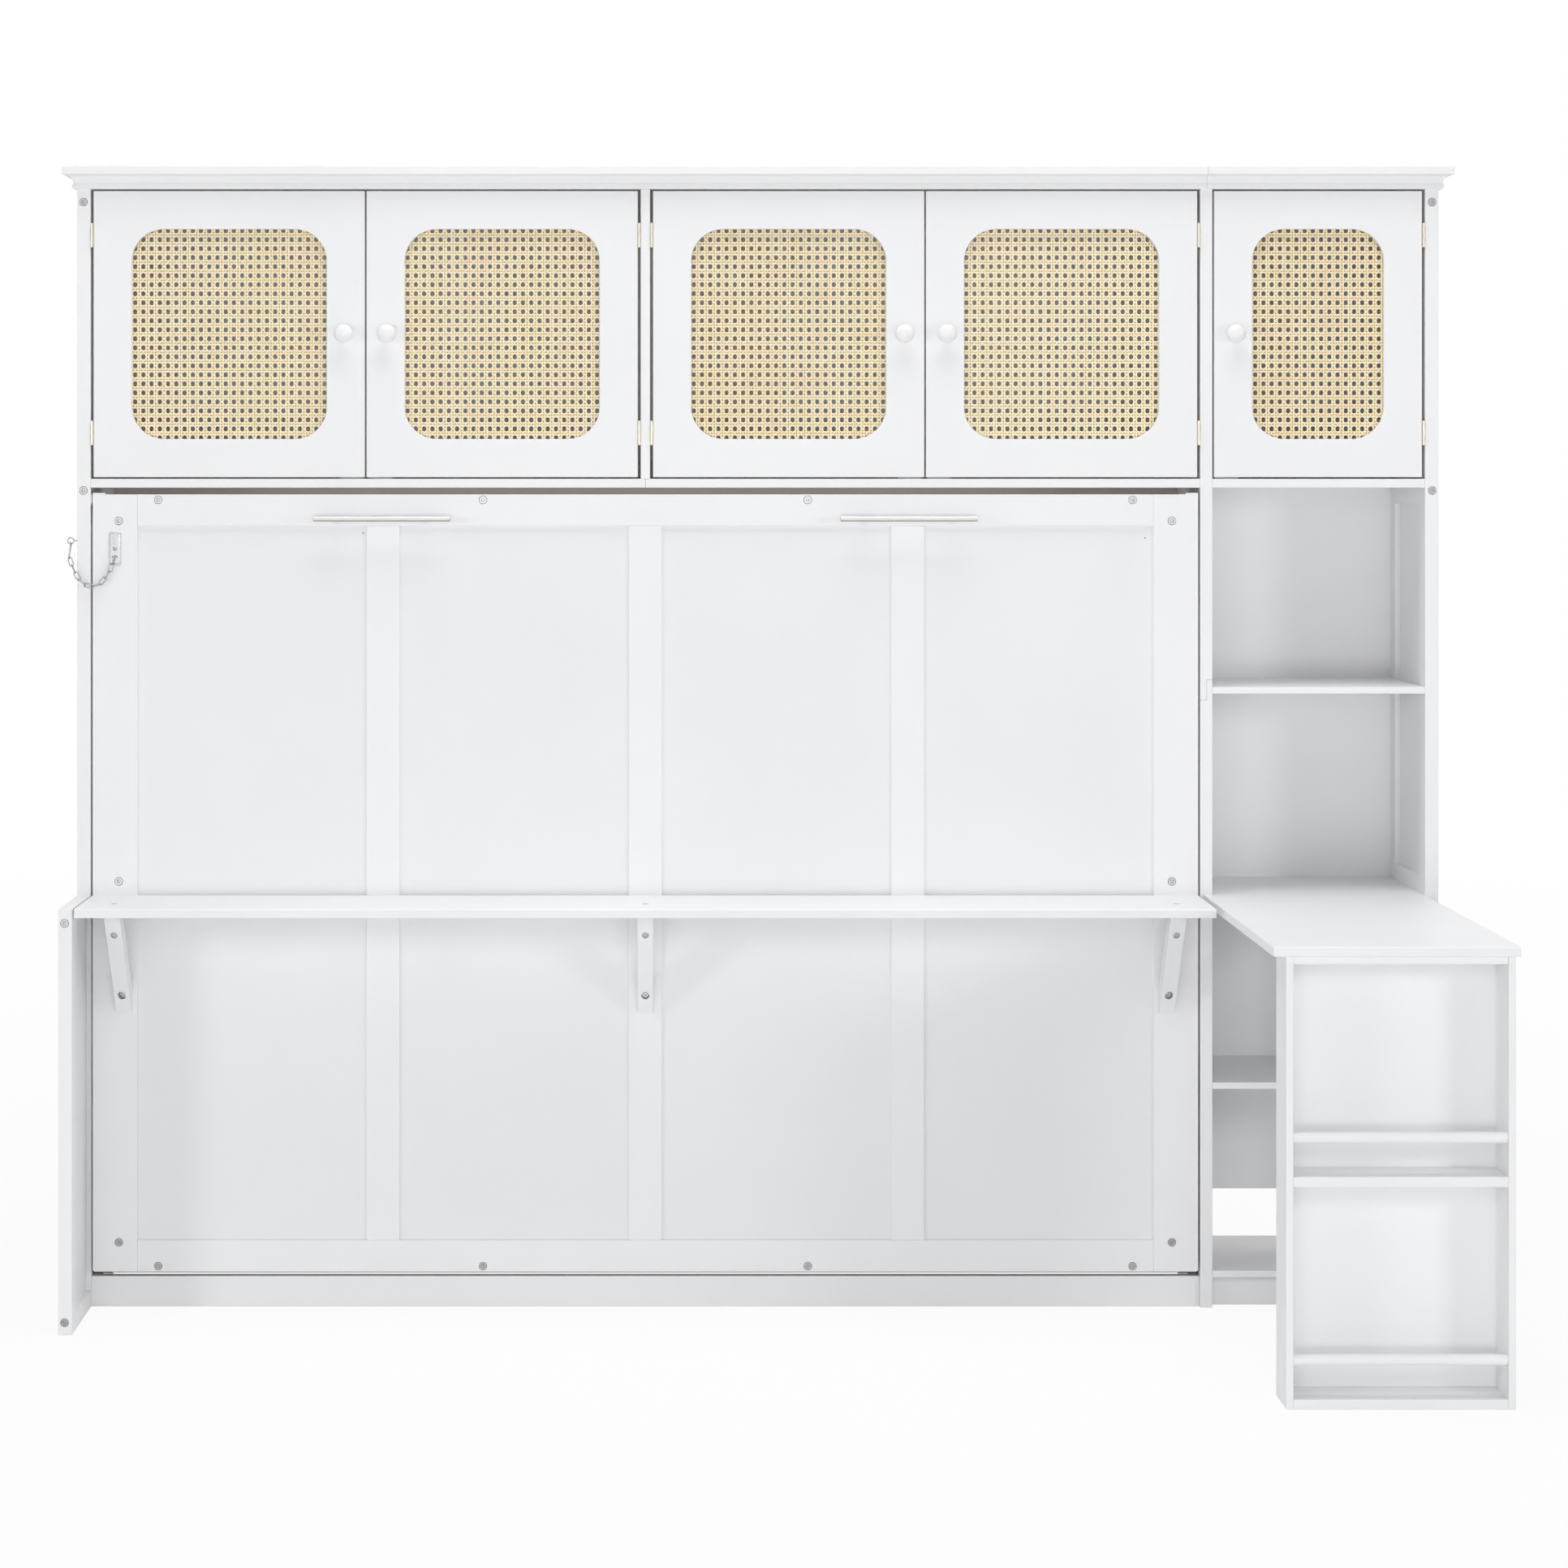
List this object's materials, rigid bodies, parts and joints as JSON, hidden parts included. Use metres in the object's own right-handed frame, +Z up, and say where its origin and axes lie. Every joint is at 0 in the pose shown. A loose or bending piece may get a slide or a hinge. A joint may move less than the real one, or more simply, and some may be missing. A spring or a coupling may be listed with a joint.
{
  "type": "wall bed with fold-down desk",
  "caption": "White wall bed that folds down sideways, with a desk board on its face, cane-door cupboards above, a shelf column and a fixed side desk with an end rack.",
  "frame": {"origin": "middle of the box's base, on the floor", "axes": "+X along the wall to the right as seen from the room, +Y into the wall, +Z up"},
  "size_m": [2.506, 1, 2.06],
  "materials": {
    "white_board": "satin white lacquer on board",
    "white_panel": "matt white thin board",
    "white_knob": "gloss white lacquer on turned wood",
    "cane": "natural woven cane",
    "raw_wood": "plain sanded softwood",
    "black_steel": "black powder coat",
    "black_plastic": "black moulded plastic",
    "white_plastic": "white moulded plastic",
    "bright_steel": "zinc or nickel plated",
    "brushed_nickel": "brushed nickel",
    "hinge_brass": "pale satin brass",
    "bronze": "plain sintered bronze"
  },
  "bodies": {
    "cabinet": {"left_side_frame": "white_board", "right_side_frame": "white_board", "side_panels": "white_panel", "divider_boards": "white_board", "front_rails": "white_board", "wall_rails": "white_board", "cupboard_floors": "white_board", "cupboard_partition": "white_board", "top_boards": "white_board", "crown_mouldings": "white_board", "back_panels": "white_panel", "column_shelves": "white_board", "desk_top": "white_board", "rack_sides": "white_board", "rack_shelves": "white_board", "rack_rods": "white_board", "cabinet_bolts": "bright_steel", "steel_brackets": "black_steel", "pivot_pins": "bright_steel", "hinge_fixed_leaves": "hinge_brass", "door_catches": "white_plastic", "chain_eye": "bright_steel"},
    "bed": {"bed_uprights": "white_board", "bed_cross_rails": "white_board", "bed_front_panels": "white_panel", "bed_box_rails": "black_steel", "bed_corner_feet": "black_plastic", "bed_top_plates": "white_plastic", "slat_ledgers": "raw_wood", "slats": "raw_wood", "fold_desk_board": "white_board", "fold_desk_braces": "white_board", "pull_handles": "brushed_nickel", "bed_bolts": "bright_steel", "bed_pivot_plates": "black_steel", "pivot_bushes": "bronze", "chain_plate": "bright_steel", "safety_chain": "bright_steel"},
    "lift_tubes": {"lift_cylinders": "black_steel"},
    "lift_rod_pair": {"lift_rods": "bright_steel"},
    "door_1": {"door_1_frame": "white_board", "door_1_cane": "cane", "door_1_knob": "white_knob", "door_1_hinges": "hinge_brass"},
    "door_2": {"door_2_frame": "white_board", "door_2_cane": "cane", "door_2_knob": "white_knob", "door_2_hinges": "hinge_brass"},
    "door_3": {"door_3_frame": "white_board", "door_3_cane": "cane", "door_3_knob": "white_knob", "door_3_hinges": "hinge_brass"},
    "door_4": {"door_4_frame": "white_board", "door_4_cane": "cane", "door_4_knob": "white_knob", "door_4_hinges": "hinge_brass"},
    "door_5": {"door_5_frame": "white_board", "door_5_cane": "cane", "door_5_knob": "white_knob", "door_5_hinges": "hinge_brass"}
  },
  "joints": [
    {"name": "bed_fold", "type": "hinge", "parent": "cabinet", "child": "bed", "pos_m": [0, 0.27, 0.276], "axis": [1, 0, 0], "range_deg": [0, 90]},
    {"name": "lift_swing", "type": "hinge", "parent": "cabinet", "child": "lift_tubes", "pos_m": [0, 0.43, 0.426], "axis": [1, 0, 0], "range_deg": [0, 11.2]},
    {"name": "lift_slide", "type": "slide", "parent": "lift_tubes", "child": "lift_rod_pair", "axis": [0, -0.8944, -0.4472], "range_m": [0, 0.077]},
    {"name": "door_1_hinge", "type": "hinge", "parent": "cabinet", "child": "door_1", "pos_m": [-1.2024, 0.1985, 1.757], "axis": [0, 0, -1], "range_deg": [0, 100]},
    {"name": "door_2_hinge", "type": "hinge", "parent": "cabinet", "child": "door_2", "pos_m": [-0.2141, 0.1985, 1.757], "axis": [0, 0, 1], "range_deg": [0, 85]},
    {"name": "door_3_hinge", "type": "hinge", "parent": "cabinet", "child": "door_3", "pos_m": [-0.1919, 0.1985, 1.757], "axis": [0, 0, -1], "range_deg": [0, 85]},
    {"name": "door_4_hinge", "type": "hinge", "parent": "cabinet", "child": "door_4", "pos_m": [0.7964, 0.1985, 1.757], "axis": [0, 0, 1], "range_deg": [0, 90]},
    {"name": "door_5_hinge", "type": "hinge", "parent": "cabinet", "child": "door_5", "pos_m": [1.2024, 0.1985, 1.757], "axis": [0, 0, 1], "range_deg": [0, 100]}
  ],
  "couplings": [
    {"joint": "lift_swing", "follows": "bed_fold", "ratio": 0.1236},
    {"joint": "lift_slide", "follows": "bed_fold", "m_per_rad": 0.04888}
  ]
}
